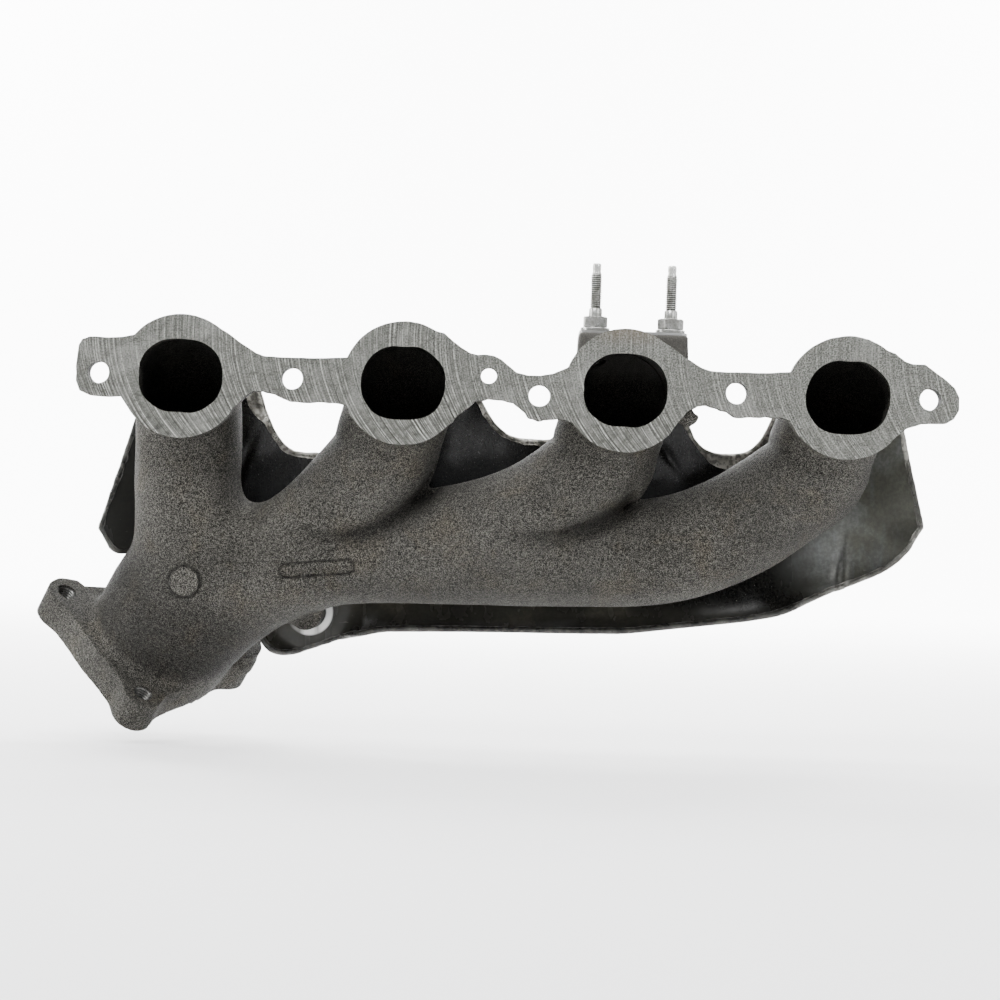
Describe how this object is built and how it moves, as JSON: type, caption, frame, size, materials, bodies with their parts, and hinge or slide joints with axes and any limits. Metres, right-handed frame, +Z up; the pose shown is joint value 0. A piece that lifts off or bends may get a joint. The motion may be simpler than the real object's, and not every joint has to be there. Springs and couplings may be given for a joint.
{
  "type": "exhaust manifold",
  "caption": "Cast-iron log exhaust manifold with port runners swept into an angled tapped outlet flange, backed by a laminated sheet-metal heat shield.",
  "frame": {"origin": "on the machined head face, midway between the middle two ports, at the height of the port centres", "axes": "+X along the row of ports, away from the outlet end; +Y away from the cylinder head; +Z up"},
  "size_m": [0.4727, 0.1219, 0.2481],
  "materials": {
    "casting": "sand-cast skin with milled faces",
    "shield_skin": "rolled, satin",
    "shield_core": "pressed mineral fibre",
    "shield_foil": "heat-darkened foil",
    "shield_tab": "satin",
    "zinc": "bright zinc plate",
    "shield_bolts": "dull phosphate",
    "shield_washers": "satin"
  },
  "bodies": {
    "root": {"casting_head_flange": "casting", "casting_runner_1": "casting", "casting_runner_2": "casting", "casting_runner_3": "casting", "casting_runner_4": "casting", "casting_log": "casting", "casting_outlet": "casting", "heat_shield_outer": "shield_skin", "heat_shield_core": "shield_core", "heat_shield_inner": "shield_foil", "shield_tab": "shield_tab", "stud_bolt_left": "zinc", "stud_bolt_right": "zinc", "stud_washer_left": "zinc", "stud_washer_right": "zinc", "shield_bolt_1": "shield_bolts", "shield_bolt_2": "shield_bolts", "shield_bolt_3": "shield_bolts", "shield_washer_1": "shield_washers", "shield_washer_2": "shield_washers", "shield_washer_3": "shield_washers"}
  },
  "joints": []
}
